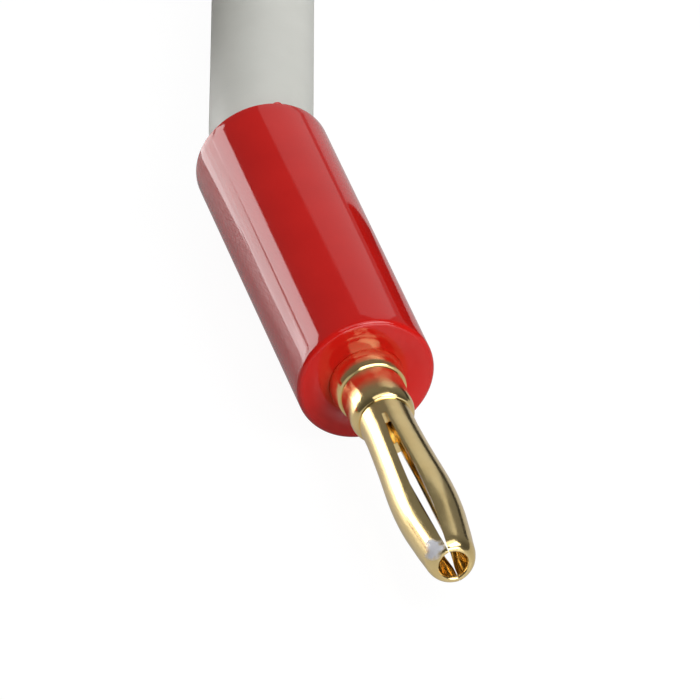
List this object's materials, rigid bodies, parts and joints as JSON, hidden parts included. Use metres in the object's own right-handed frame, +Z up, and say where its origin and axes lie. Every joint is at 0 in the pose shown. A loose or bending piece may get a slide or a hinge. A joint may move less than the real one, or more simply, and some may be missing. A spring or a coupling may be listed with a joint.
{
  "type": "banana plug",
  "caption": "Banana plug with a smooth red insulating sleeve and a gold-plated split contact pin, fitted to both ends of a grey round lead.",
  "frame": {"origin": "on the supporting surface, under the middle of the near plug's overall length", "axes": "the near plug lies along Y: its pin points to -Y and its lead leaves to +Y; +Z is up"},
  "size_m": [0.0899, 0.1649, 0.0161],
  "materials": {
    "red_plastic": "smooth glossy moulded plastic",
    "gold": "bright gold-coloured plating over brass, a little worn on the tines",
    "copper": "bare copper strands, tinned where they are soldered",
    "grey_jacket": "matt light grey jacket",
    "black_strap": "woven hook-and-loop strap"
  },
  "bodies": {
    "root": {"sleeve": "red_plastic", "pin": "gold", "conductor": "copper", "cable_lead": "grey_jacket", "cable_coil": "grey_jacket", "coil_tie": "black_strap", "cable_tail": "grey_jacket", "sleeve_far": "red_plastic", "pin_far": "gold", "conductor_far": "copper"}
  },
  "joints": []
}
